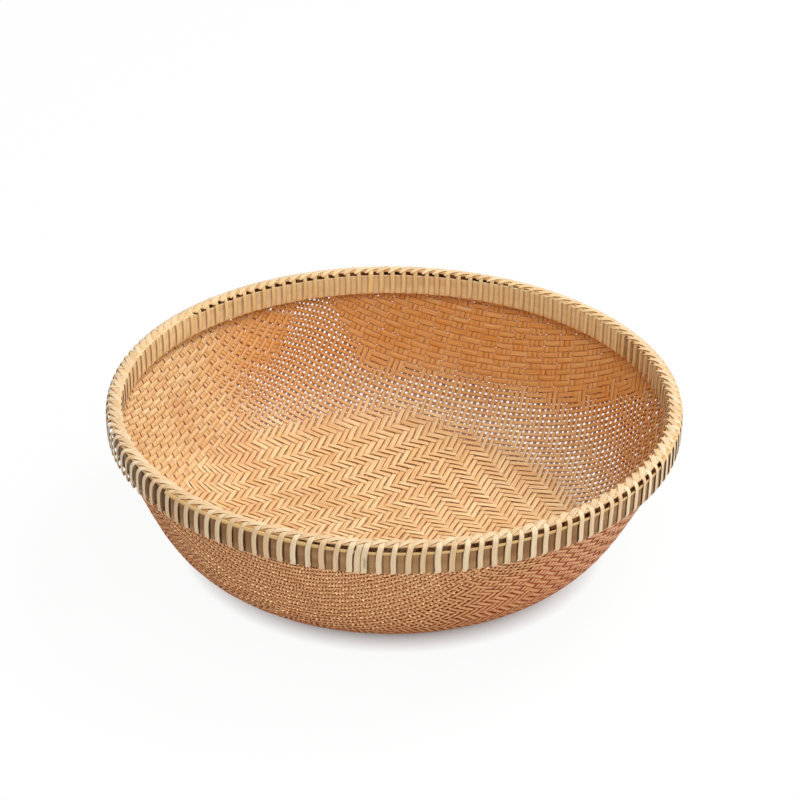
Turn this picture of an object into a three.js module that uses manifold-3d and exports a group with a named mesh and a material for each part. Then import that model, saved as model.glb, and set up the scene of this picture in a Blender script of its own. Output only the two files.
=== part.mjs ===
// Round open bamboo basket: a woven bowl whose edge is held between two bent hoops,
// bound together by flat cane lashed round the rim. Millimetres, +Z up, with the origin
// on the ground at the centre of the floor.

import * as THREE from 'three';
import { mergeVertices } from 'three/addons/utils/BufferGeometryUtils.js';
import Module from 'manifold-3d';

// Overall size, measured over the lashing.
const overallDiameter = 300;
const overallHeight = 85;

// Woven bowl: a flat floor, a rounded corner and steep sides.
const floorRadius = 82;
const weaveThickness = 1.3;
const cornerReach = 42;
const sideReach = 40;
const sideSlope = THREE.MathUtils.degToRad(63);
const uprightBelowHoops = 2.4;
const edgeBelowHoopTop = 1.4;

// Twill of the weave. Each splint passes over a float of three others and under the next
// three, which raises diagonal ridges. Their slant is mirrored along two lines.
const splintSpacing = 3.38;
const floatSplints = 3;
const reliefHeight = 0.6;
const reliefBelowUpright = 9.6;
const seamOverlap = 1;
const plainFoot = 3;
const weaveBearing = THREE.MathUtils.degToRad(-17);
const mirrorOffset = 4;
const mirrorRow = -3;
const ridgeRows = 18;

// Hoops: two bent bamboo strips, each closed by a tapered lap.
const hoopHeight = 13;
const outerHoopThickness = 2.6;
const innerHoopThickness = 2.4;
const hoopChamfer = 0.9;
const lapLength = 56;
const lapTip = 0.5;
const lapShoulder = 1;
const lapDrop = 2;
const outerLapBearing = THREE.MathUtils.degToRad(-116);
const innerLapBearing = THREE.MathUtils.degToRad(52);

// Flat filler strip that covers the cut edge of the weave between the hoops.
const fillerWidth = 4.2;
const fillerThickness = 0.7;
const fillerChamfer = 0.3;
const fillerJoint = 1;
const fillerJointBearing = THREE.MathUtils.degToRad(20);

// Lashing: flat cane in a few long strands, each wound round the rim many times.
const caneWidth = 2.6;
const caneThickness = 0.7;
const strandCount = 6;
const loopsPerStrand = 23;
const strandEndGap = 0.8;
const firstWrapBearing = THREE.MathUtils.degToRad(-97.6);
const slantOverTop = 0.5;

// Gap between neighbouring pieces.
const clearance = 0.3;

// Facets round one turn, along a lap and along the bowl's profile.
const turnFacets = 72;
const lapFacets = 4;
const profileFacets = 10;

// Radii, from the outside of the rim inwards.
const outerHoopOuter = overallDiameter / 2 - caneThickness - clearance;
const outerHoopInner = outerHoopOuter - outerHoopThickness;
const wallOuter = outerHoopInner - clearance;
const wallInner = wallOuter - weaveThickness;
const wallMiddle = (wallOuter + wallInner) / 2;
const innerHoopOuter = wallInner - clearance;
const innerHoopInner = innerHoopOuter - innerHoopThickness;
const rimThickness = outerHoopOuter - innerHoopInner;
const rimMiddle = (outerHoopOuter + innerHoopInner) / 2;

// Heights, from the top of the lashing downwards.
const fillerTop = overallHeight - caneThickness - clearance;
const hoopTop = fillerTop - fillerThickness - clearance;
const hoopBottom = hoopTop - hoopHeight;
const wallTop = hoopTop - edgeBelowHoopTop;
const uprightStart = hoopBottom - uprightBelowHoops;
const reliefTop = uprightStart - reliefBelowUpright;

// Spacing of the wraps, and how far the cane's middle lies off what it is wound on.
const wrapCount = strandCount * loopsPerStrand;
const wrapPitch = (2 * Math.PI) / wrapCount;
const caneOffset = clearance + caneThickness / 2;

const weaveFinish = { color: 0xdba873, roughness: 0.6, metalness: 0 };
const skinFinish = { color: 0x6b4c2b, roughness: 0.5, metalness: 0 };
const fleshFinish = { color: 0xb8965f, roughness: 0.6, metalness: 0 };
const caneFinish = { color: 0xd9c493, roughness: 0.55, metalness: 0 };

function polar(radius, bearing, height) {
  return new THREE.Vector3(radius * Math.cos(bearing), radius * Math.sin(bearing), height);
}

// Joins section rings of equal length into one closed body with a flat cap on each end.
// Seen along the sweep, each ring runs anticlockwise.
function sweep(rings) {
  const sides = rings[0].length;
  const index = [];
  for (let ring = 0; ring < rings.length - 1; ring += 1) {
    for (let side = 0; side < sides; side += 1) {
      const a = ring * sides + side;
      const b = ring * sides + ((side + 1) % sides);
      index.push(a, b, b + sides, a, b + sides, a + sides);
    }
  }
  const last = (rings.length - 1) * sides;
  for (let side = 1; side < sides - 1; side += 1) {
    index.push(0, side + 1, side);
    index.push(last, last + side, last + side + 1);
  }
  const geometry = new THREE.BufferGeometry().setFromPoints(rings.flat());
  geometry.setIndex(index);
  geometry.computeVertexNormals();
  return geometry;
}

// Turns a geometry into a solid: shared points are merged and empty triangles left out.
function toSolid(wasm, geometry) {
  const bare = geometry.clone();
  bare.deleteAttribute('normal');
  bare.deleteAttribute('uv');
  const merged = mergeVertices(bare, 1e-3);
  const triangles = [];
  for (let i = 0; i < merged.index.count; i += 3) {
    const [a, b, c] = [0, 1, 2].map((corner) => merged.index.getX(i + corner));
    if (a !== b && b !== c && c !== a) triangles.push(a, b, c);
  }
  return new wasm.Manifold(new wasm.Mesh({
    numProp: 3,
    vertProperties: merged.attributes.position.array,
    triVerts: new Uint32Array(triangles),
  }));
}

function fromSolid(solid) {
  const { vertProperties, triVerts } = solid.getMesh();
  const geometry = new THREE.BufferGeometry();
  geometry.setAttribute('position', new THREE.BufferAttribute(vertProperties, 3));
  geometry.setIndex(new THREE.BufferAttribute(triVerts, 1));
  geometry.computeVertexNormals();
  return geometry;
}

// Outside of the bowl's section from the edge of the floor to where the wall stands upright.
function cornerCurve() {
  return new THREE.CubicBezierCurve(
    new THREE.Vector2(floorRadius, 0),
    new THREE.Vector2(floorRadius + cornerReach, 0),
    new THREE.Vector2(
      wallOuter - sideReach * Math.cos(sideSlope),
      uprightStart - sideReach * Math.sin(sideSlope),
    ),
    new THREE.Vector2(wallOuter, uprightStart),
  );
}

// Half-section of the bowl: along the floor, up the outside, over the edge and back inside.
function bowlSection() {
  const curve = cornerCurve();
  const outside = curve.getPoints(profileFacets);
  const inside = outside.map((point, i) => {
    const along = curve.getTangent(i / profileFacets);
    return new THREE.Vector2(-along.y, along.x).multiplyScalar(weaveThickness).add(point);
  });
  inside[profileFacets].set(wallInner, uprightStart);
  return [
    new THREE.Vector2(0, 0),
    ...outside,
    new THREE.Vector2(wallOuter, wallTop),
    new THREE.Vector2(wallInner, wallTop),
    ...inside.reverse(),
    new THREE.Vector2(0, weaveThickness),
  ];
}

// Place and inward normal on the outside of the bowl's section, at a length from its axis.
function profileAt(length, curve) {
  const beyondFloor = length - floorRadius;
  const share = beyondFloor / curve.getLength();
  if (share <= 0) return [new THREE.Vector2(length, 0), new THREE.Vector2(0, 1)];
  if (share >= 1) {
    const above = beyondFloor - curve.getLength();
    return [new THREE.Vector2(wallOuter, uprightStart + above), new THREE.Vector2(-1, 0)];
  }
  const along = curve.getTangentAt(share);
  return [curve.getPointAt(share), new THREE.Vector2(-along.y, along.x)];
}

// Corner of the twill's ridges on the outside and on the inside of the bowl. Rows and columns
// lie one float apart on the weave rolled out flat, and ridges and valleys take turns. The
// outside is plain below the height of the foot, so that the basket stands flat.
function ridgeCorner(column, row, curve) {
  const pitch = splintSpacing * floatSplints;
  const across = column * pitch + mirrorOffset;
  const back = row * pitch;
  const length = Math.hypot(across, back);
  const bearing = Math.atan2(back, across) + weaveBearing;
  const [point, inward] = profileAt(length, curve);
  const ridge = (column + row) % 2 === 0 ? reliefHeight / 2 : -reliefHeight / 2;
  const rise = point.y > reliefTop - pitch ? 0 : ridge;
  const outside = point.clone().addScaledVector(inward, point.y > plainFoot ? rise : 0);
  const inside = point.clone().addScaledVector(inward, weaveThickness + rise);
  return [outside, inside].map(({ x, y }) => polar(x, bearing, y));
}

// The weave with its ridges, as a square sheet pressed into the bowl's shape.
function ridgedSheet() {
  const curve = cornerCurve();
  const side = 2 * ridgeRows + 1;
  const corners = [[], []];
  for (let row = -ridgeRows; row <= ridgeRows; row += 1) {
    for (let column = -ridgeRows; column <= ridgeRows; column += 1) {
      ridgeCorner(column, row, curve).forEach((corner, face) => corners[face].push(corner));
    }
  }
  const inner = side * side;
  const index = [];
  const addQuad = (a, b, c, d, turned) => {
    if (turned) index.push(a, b, d, b, c, d);
    else index.push(a, b, c, a, c, d);
  };
  for (let row = 0; row < side - 1; row += 1) {
    for (let column = 0; column < side - 1; column += 1) {
      const a = row * side + column;
      const turned = (column < ridgeRows) === (row < ridgeRows + mirrorRow);
      addQuad(a, a + side, a + side + 1, a + 1, turned);
      addQuad(inner + a, inner + a + 1, inner + a + side + 1, inner + a + side, !turned);
    }
  }
  for (let i = 0; i < side - 1; i += 1) {
    const last = side - 1;
    const border = [
      [i, i + 1],
      [i * side + last, (i + 1) * side + last],
      [last * side + i + 1, last * side + i],
      [(i + 1) * side, i * side],
    ];
    border.forEach(([a, b]) => addQuad(a, b, inner + b, inner + a, false));
  }
  const geometry = new THREE.BufferGeometry().setFromPoints(corners.flat());
  geometry.setIndex(index);
  return geometry;
}

// Hole through the weave for the cane that passes from this wrap to the next one.
function lashingHole(wrap) {
  const under = hoopBottom - caneOffset;
  const inside = polar(innerHoopInner - caneOffset, wrapBearing(wrap + slantOverTop), under);
  const outside = polar(outerHoopOuter + caneOffset, wrapBearing(wrap + 1), under);
  const share = (wallMiddle - innerHoopInner + caneOffset) / (rimThickness + 2 * caneOffset);
  const centre = inside.clone().lerp(outside, share);
  const hole = new THREE.BoxGeometry(
    weaveThickness * 3,
    caneWidth + 2 * clearance,
    caneThickness + 2 * clearance,
  );
  hole.rotateZ(Math.atan2(outside.y - inside.y, outside.x - inside.x));
  hole.translate(centre.x, centre.y, centre.z);
  return hole;
}

// The ridged weave up to a seam under the hoops, and a plain wall from there to the top.
function wovenBowl(wasm) {
  const turned = new THREE.LatheGeometry(bowlSection(), turnFacets);
  turned.rotateX(Math.PI / 2);
  const wall = toSolid(wasm, turned).trimByPlane([0, 0, 1], reliefTop - seamOverlap);
  const weave = toSolid(wasm, ridgedSheet()).trimByPlane([0, 0, -1], -reliefTop);
  const holes = [];
  for (let wrap = 0; wrap < wrapCount; wrap += 1) {
    holes.push(toSolid(wasm, lashingHole(wrap)));
  }
  return fromSolid(weave.add(wall).subtract(wasm.Manifold.union(holes)));
}

// Section of a hoop, chamfered above and below on the side that the cane is bent over.
function hoopRing(bearing, inner, outer, top, caneSide) {
  const chamfer = Math.min(hoopChamfer, (outer - inner) / 2);
  const corners = caneSide === 'outer'
    ? [
      [inner, hoopBottom],
      [inner, top],
      [outer - chamfer, top],
      [outer, top - chamfer],
      [outer, hoopBottom + chamfer],
      [outer - chamfer, hoopBottom],
    ]
    : [
      [inner + chamfer, hoopBottom],
      [inner, hoopBottom + chamfer],
      [inner, top - chamfer],
      [inner + chamfer, top],
      [outer, top],
      [outer, hoopBottom],
    ];
  return corners.map(([radius, height]) => polar(radius, bearing, height));
}

// A strip bent into a hoop. Its tapered ends lie side by side over the lap, so that the
// hoop keeps its thickness all the way round. The end on the cane's side is cut lower.
function hoop(inner, outer, lapBearing, caneSide) {
  const thickness = outer - inner;
  const middle = (inner + outer) / 2;
  const lapAngle = lapLength / middle;
  const shoulderAngle = lapShoulder / middle;
  const plainTurn = 2 * Math.PI - lapAngle - 2 * shoulderAngle;
  const coveredDepth = (share) => (
    THREE.MathUtils.lerp(lapTip, thickness - clearance - lapTip, share)
  );
  const rings = [];
  const addRing = (angle, near, far, top) => {
    const low = caneSide === 'outer' ? inner + near : outer - far;
    const high = caneSide === 'outer' ? inner + far : outer - near;
    rings.push(hoopRing(lapBearing + angle, low, high, top, caneSide));
  };
  for (let i = 0; i <= lapFacets; i += 1) {
    const share = i / lapFacets;
    addRing(share * lapAngle, 0, coveredDepth(share), hoopTop);
  }
  for (let i = 0; i <= turnFacets; i += 1) {
    const angle = lapAngle + shoulderAngle + (i / turnFacets) * plainTurn;
    addRing(angle, 0, thickness, hoopTop);
  }
  for (let i = 0; i <= lapFacets; i += 1) {
    const share = i / lapFacets;
    const angle = 2 * Math.PI + share * lapAngle;
    addRing(angle, coveredDepth(share) + clearance, thickness, hoopTop - share * lapDrop);
  }
  return sweep(rings);
}

// The filler lies on both hoops, over the edge of the weave, with a small gap at its joint.
function filler() {
  const inner = rimMiddle - fillerWidth / 2;
  const outer = rimMiddle + fillerWidth / 2;
  const bottom = fillerTop - fillerThickness;
  const turn = 2 * Math.PI - fillerJoint / rimMiddle;
  const rings = [];
  for (let i = 0; i <= turnFacets; i += 1) {
    const bearing = fillerJointBearing + (i / turnFacets) * turn;
    rings.push([
      polar(inner, bearing, bottom),
      polar(inner, bearing, fillerTop - fillerChamfer),
      polar(inner + fillerChamfer, bearing, fillerTop),
      polar(outer - fillerChamfer, bearing, fillerTop),
      polar(outer, bearing, fillerTop - fillerChamfer),
      polar(outer, bearing, bottom),
    ]);
  }
  return sweep(rings);
}

function wrapBearing(wrap) {
  return firstWrapBearing + wrap * wrapPitch;
}

// Corners of the line that runs round the rim's section at a distance from it, from the
// bottom of the outer hoop, over the filler, to the bottom of the inner hoop. Its slopes
// at 45 degrees clear the hoops' chamfers and the filler's edges.
function rimOutline(distance) {
  const outside = outerHoopOuter + distance;
  const inside = innerHoopInner - distance;
  const over = fillerTop + distance;
  const under = hoopBottom - distance;
  const chamferReach = rimThickness / 2 + hoopTop - hoopChamfer;
  const fillerReach = fillerWidth / 2 + fillerTop - fillerChamfer;
  const reach = Math.max(chamferReach, fillerReach) + distance * Math.SQRT2;
  const shoulder = reach - rimThickness / 2 - distance;
  const inset = over - shoulder;
  return [
    [outside, under],
    [outside, shoulder],
    [outside - inset, over],
    [inside + inset, over],
    [inside, shoulder],
    [inside, under],
  ];
}

// Section of the cane between its near and its far side, with its width along the rim.
function caneRing(bearing, [nearRadius, nearHeight], [farRadius, farHeight]) {
  const near = polar(nearRadius, bearing, nearHeight);
  const far = polar(farRadius, bearing, farHeight);
  const across = polar(caneWidth / 2, bearing + Math.PI / 2, 0);
  return [
    near.clone().sub(across),
    far.clone().sub(across),
    far.clone().add(across),
    near.clone().add(across),
  ];
}

// One wrap: straight up the outer hoop, slanting over the top, straight down the inner hoop.
function wrapRings(wrap) {
  const near = rimOutline(clearance);
  const far = rimOutline(clearance + caneThickness);
  const outside = near[0][0];
  const inside = near.at(-1)[0];
  return near.map((corner, i) => {
    const share = (outside - corner[0]) / (outside - inside);
    return caneRing(wrapBearing(wrap + share * slantOverTop), corner, far[i]);
  });
}

// A strand is wound wrap after wrap, each passing under the hoops and through the weave to
// the next. Its tail stops under the outer hoop, short of where the next strand starts.
function strandRings(strand) {
  const first = strand * loopsPerStrand;
  const rings = [];
  for (let loop = 0; loop < loopsPerStrand; loop += 1) {
    rings.push(...wrapRings(first + loop));
  }
  const tailRadius = outerHoopOuter + clearance - strandEndGap;
  const share = (tailRadius - innerHoopInner + clearance) / (rimThickness + 2 * clearance);
  const advance = THREE.MathUtils.lerp(slantOverTop, 1, share);
  const near = [tailRadius, hoopBottom - clearance];
  const far = [tailRadius, hoopBottom - clearance - caneThickness];
  rings.push(caneRing(wrapBearing(first + loopsPerStrand - 1 + advance), near, far));
  return rings;
}

// Least gap of a strand to itself, between points along its edges. Stretches that follow
// each other at a corner aren't compared.
function leastGap(rings) {
  const marks = 6;
  const edges = [];
  for (let ring = 0; ring < rings.length - 1; ring += 1) {
    const points = [];
    for (let side = 0; side < rings[ring].length; side += 1) {
      for (let mark = 0; mark < marks; mark += 1) {
        points.push(rings[ring][side].clone().lerp(rings[ring + 1][side], mark / marks));
      }
    }
    edges.push(points);
  }
  const loopLength = wrapRings(0).length;
  let least = Infinity;
  for (let i = 0; i < edges.length; i += 1) {
    for (let j = i + 3; j < Math.min(i + 2 * loopLength, edges.length); j += 1) {
      for (const a of edges[i]) {
        for (const b of edges[j]) least = Math.min(least, a.distanceTo(b));
      }
    }
  }
  return least;
}

function addPiece(group, name, geometry, finish) {
  const mesh = new THREE.Mesh(geometry, new THREE.MeshStandardMaterial(finish));
  mesh.name = name;
  group.add(mesh);
}

const wasm = await Module();
wasm.setup();

const basket = new THREE.Group();
const outerHoop = hoop(outerHoopInner, outerHoopOuter, outerLapBearing, 'outer');
const innerHoop = hoop(innerHoopInner, innerHoopOuter, innerLapBearing, 'inner');
addPiece(basket, 'woven_bowl', wovenBowl(wasm), weaveFinish);
addPiece(basket, 'outer_hoop', outerHoop, skinFinish);
addPiece(basket, 'inner_hoop', innerHoop, fleshFinish);
addPiece(basket, 'rim_filler', filler(), fleshFinish);

for (let strand = 0; strand < strandCount; strand += 1) {
  const rings = strandRings(strand);
  addPiece(basket, `lashing_${strand + 1}`, sweep(rings), caneFinish);
  console.log(`lashing_${strand + 1}: least gap to itself ${leastGap(rings).toFixed(2)} mm`);
}

export default basket;
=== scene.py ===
"""Round open basket of woven bamboo splints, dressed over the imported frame.

Sizes are in millimetres and bearings in degrees, anticlockwise from +X, unless a name says
otherwise. Meshes are in metres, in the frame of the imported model.
"""

import logging
import math
from abc import ABC, abstractmethod
from collections.abc import Iterator, Sequence
from dataclasses import dataclass, field, replace
from enum import Enum

import bpy
import numpy as np
from mathutils import Matrix, Vector


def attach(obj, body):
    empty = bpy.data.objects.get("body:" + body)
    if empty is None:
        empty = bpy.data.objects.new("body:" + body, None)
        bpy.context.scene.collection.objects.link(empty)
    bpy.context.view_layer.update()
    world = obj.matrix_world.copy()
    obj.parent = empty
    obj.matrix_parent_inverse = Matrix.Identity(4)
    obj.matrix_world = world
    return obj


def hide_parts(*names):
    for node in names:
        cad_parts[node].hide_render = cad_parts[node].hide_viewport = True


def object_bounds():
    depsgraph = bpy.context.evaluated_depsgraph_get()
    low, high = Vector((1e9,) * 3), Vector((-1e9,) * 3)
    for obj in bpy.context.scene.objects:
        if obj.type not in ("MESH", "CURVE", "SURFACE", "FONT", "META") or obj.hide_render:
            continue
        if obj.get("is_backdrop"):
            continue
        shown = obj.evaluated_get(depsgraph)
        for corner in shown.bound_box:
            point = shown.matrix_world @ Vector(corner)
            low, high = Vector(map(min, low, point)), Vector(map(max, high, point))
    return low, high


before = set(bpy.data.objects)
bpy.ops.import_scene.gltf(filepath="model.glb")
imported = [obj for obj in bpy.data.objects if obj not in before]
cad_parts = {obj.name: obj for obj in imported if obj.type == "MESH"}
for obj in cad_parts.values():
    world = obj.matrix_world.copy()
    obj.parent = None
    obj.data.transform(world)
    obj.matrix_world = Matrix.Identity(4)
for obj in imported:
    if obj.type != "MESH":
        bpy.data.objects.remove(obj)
CAD_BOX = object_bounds()

MM = 0.001
RENDER_SIZE = 800
FULL_TURN = 2 * math.pi
log = logging.getLogger("basket")

Array = np.ndarray
Colour = tuple[int, int, int]
Pair = tuple[float, float]
Numbers = dict[str, Array | float]
Piece = bpy.types.Object
Socket = bpy.types.NodeSocket


def srgb(colour: Colour) -> tuple[float, float, float, float]:
    """Turn a colour written in display steps into a linear one for a shader.

    Args:
        colour: Red, green and blue from 0 to 255.

    Returns:
        Linear red, green, blue and an alpha of one.
    """
    steps = [value / 255 for value in colour]
    linear = [s / 12.92 if s <= 0.04045 else ((s + 0.055) / 1.055) ** 2.4 for s in steps]
    return (*linear, 1.0)


def ease(value: Array, ends: Pair) -> Array:
    """Go smoothly from nought at the first end to one at the second, and stay there."""
    share = np.clip((value - ends[0]) / (ends[1] - ends[0]), 0, 1)
    return share * share * (3 - 2 * share)


def unit(rows: Array) -> Array:
    """Bring every row to the length one."""
    return rows / np.linalg.norm(rows, axis=-1, keepdims=True)


def lengths(line: Array) -> Array:
    """Length along a line of points, from its start to each point."""
    return np.concatenate([[0], np.cumsum(np.linalg.norm(np.diff(line, axis=0), axis=1))])


def polar(radius: Array, angle: Array, height: Array) -> Array:
    """Make rows of X, Y and Z from radii, angles in radians and heights."""
    return np.column_stack([radius * np.cos(angle), radius * np.sin(angle), height])


def around(points: Array, bearing: float) -> Array:
    """Carry points from the rim's straight pattern to their place round the hoop.

    Args:
        points: Rows of along the rim, radius and height, in metres.
        bearing: Bearing of the pattern's zero in degrees.

    Returns:
        Rows of X, Y and Z in metres.
    """
    along, radius, height = points.T
    return polar(radius, math.radians(bearing) + along / radius, height)


# ---- The bench: operator steps and mesh helpers ----

CANE_CORNERS = 14
SHARP_ANGLE = 40.0
CANE_SHARP_ANGLE = 60.0


class Bench:
    """Operator steps that the pieces are modelled with."""

    @staticmethod
    def clear() -> None:
        """Leave edit mode and deselect everything."""
        if bpy.context.mode != "OBJECT":
            bpy.ops.object.mode_set(mode="OBJECT")
        bpy.ops.object.select_all(action="DESELECT")

    @staticmethod
    def take_up(name: str, size: Sequence[float], middle: Vector) -> Piece:
        """Name and size the face just added, and stay in edit mode with it selected.

        Args:
            name: Name of the new object.
            size: Size along each axis, in metres, or one where the face has none.
            middle: Middle of the face in metres.

        Returns:
            The new object, in edit mode.
        """
        piece = bpy.context.active_object
        piece.name = name
        bpy.ops.object.transform_apply(location=True, rotation=True, scale=True)
        bpy.ops.object.mode_set(mode="EDIT")
        bpy.ops.mesh.select_all(action="SELECT")
        bpy.ops.transform.resize(value=size, center_override=middle)
        return piece

    @staticmethod
    def close(piece: Piece, angle: float = SHARP_ANGLE) -> Piece:
        """Turn the faces outwards, leave edit mode and smooth the mesh.

        Args:
            piece: The object that was modelled last.
            angle: Edges sharper than this stay sharp.

        Returns:
            The same object.
        """
        bpy.ops.object.mode_set(mode="EDIT")
        bpy.ops.mesh.select_all(action="SELECT")
        bpy.ops.mesh.normals_make_consistent(inside=False)
        bpy.ops.object.mode_set(mode="OBJECT")
        bpy.ops.object.shade_smooth_by_angle(angle=math.radians(angle))
        return piece

    @staticmethod
    def bend(name: str, low: Pair, high: Pair, rounding: tuple[float, int], turn: float,
             steps: int) -> Piece:
        """Spin a strip's rounded section round the rim.

        Args:
            name: Name of the new object.
            low: Least radius and height.
            high: Greatest radius and height.
            rounding: Radius of the section's corners, and how many edges make it.
            turn: Angle of the whole strip in radians.
            steps: Stretches from end to end.

        Returns:
            The strip, out of edit mode.
        """
        Bench.clear()
        least, most = (Vector((radius, 0, height)) * MM for radius, height in (low, high))
        middle, size = (least + most) / 2, most - least
        bpy.ops.mesh.primitive_plane_add(size=1, location=middle, rotation=(math.pi / 2, 0, 0))
        piece = Bench.take_up(name, (size.x, 1, size.z), middle)
        bpy.ops.mesh.bevel(offset=rounding[0] * MM, segments=rounding[1], affect="VERTICES")
        bpy.ops.mesh.select_all(action="SELECT")
        bpy.ops.mesh.spin(steps=steps, angle=turn, center=(0, 0, 0), axis=(0, 0, 1))
        bpy.ops.object.mode_set(mode="OBJECT")
        return piece

    @staticmethod
    def cane(name: str, width: float, thickness: float, path: Sequence[Vector]) -> Piece:
        """Extrude an oval along a path, turning it about X to stay square to its way.

        Args:
            name: Name of the new object.
            width: Width of the cane, along X.
            thickness: Thickness of the cane.
            path: Middle line of the cane in metres.

        Returns:
            The stretch of cane, out of edit mode.
        """
        Bench.clear()
        bpy.ops.mesh.primitive_circle_add(
            vertices=CANE_CORNERS, radius=0.5, fill_type="NGON", location=path[0],
            rotation=(0, 0, math.pi / CANE_CORNERS))
        piece = Bench.take_up(name, (width * MM, thickness * MM, 1), path[0])
        steps = [b - a for a, b in zip(path, path[1:])]
        turn = 0.0
        for i, place in enumerate(path):
            if i:
                bpy.ops.mesh.extrude_region_move(TRANSFORM_OT_translate={"value": steps[i - 1]})
            before, after = steps[max(i - 1, 0)], steps[min(i, len(steps) - 1)]
            heading = before.normalized() + after.normalized()
            goal = math.atan2(-heading.y, heading.z)
            while i and goal < turn - math.pi / 2:
                goal += FULL_TURN
            bpy.ops.transform.rotate(
                value=-(goal - turn), orient_axis="X", center_override=place)
            turn = goal
        return Bench.close(piece, CANE_SHARP_ANGLE)

    @staticmethod
    def join(pieces: Sequence[Piece], name: str) -> Piece:
        """Join copies into one object.

        Args:
            pieces: The objects to join.
            name: Name of the joined object.

        Returns:
            The joined object.
        """
        Bench.clear()
        for piece in pieces:
            piece.select_set(True)
        bpy.context.view_layer.objects.active = pieces[0]
        bpy.ops.object.join()
        pieces[0].name = name
        pieces[0].data.name = name
        return pieces[0]


def read_points(piece: Piece) -> Array:
    """Read a piece's points.

    Args:
        piece: The piece to read.

    Returns:
        Rows of X, Y and Z in metres.
    """
    flat = np.empty(len(piece.data.vertices) * 3)
    piece.data.vertices.foreach_get("co", flat)
    return flat.reshape(-1, 3)


def write_points(piece: Piece, points: Array) -> None:
    """Write an array of rows in metres back to a piece's points."""
    piece.data.vertices.foreach_set("co", np.ascontiguousarray(points).ravel())
    piece.data.update()


def rings_of(points: Array, rings: int) -> Array:
    """Number of the ring that each point of an extruded piece belongs to."""
    return np.arange(len(points)) // (len(points) // rings)


def mark(mesh: bpy.types.Mesh, **columns: Array | float) -> None:
    """Store numbers at a mesh's points, under names that a material reads.

    Args:
        mesh: The mesh to mark.
        **columns: One number for each point, or one for all of them.
    """
    for name, values in columns.items():
        layer = mesh.attributes.new(name, "FLOAT", "POINT")
        filled = np.broadcast_to(values, len(mesh.vertices))
        layer.data.foreach_set("value", np.ascontiguousarray(filled, dtype=np.float32))


def hand_over(piece: Piece, material: bpy.types.Material, slot: str, node: str = "") -> None:
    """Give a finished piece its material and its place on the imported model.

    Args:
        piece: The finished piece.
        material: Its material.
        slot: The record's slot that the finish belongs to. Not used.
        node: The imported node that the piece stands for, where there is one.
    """
    piece.data.materials.append(material)
    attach(piece, "root")
    if node:
        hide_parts(node)
    log.info("piece %s, %d points", piece.name, len(piece.data.vertices))


# ---- Finishes ----


@dataclass(frozen=True)
class Streaks:
    """Noise drawn out along a strip, and how far a colour shows through it."""

    scales: Pair
    ends: Pair
    share: float = 1.0
    detail: float = 2.0
    rough: float = 0.5


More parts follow.
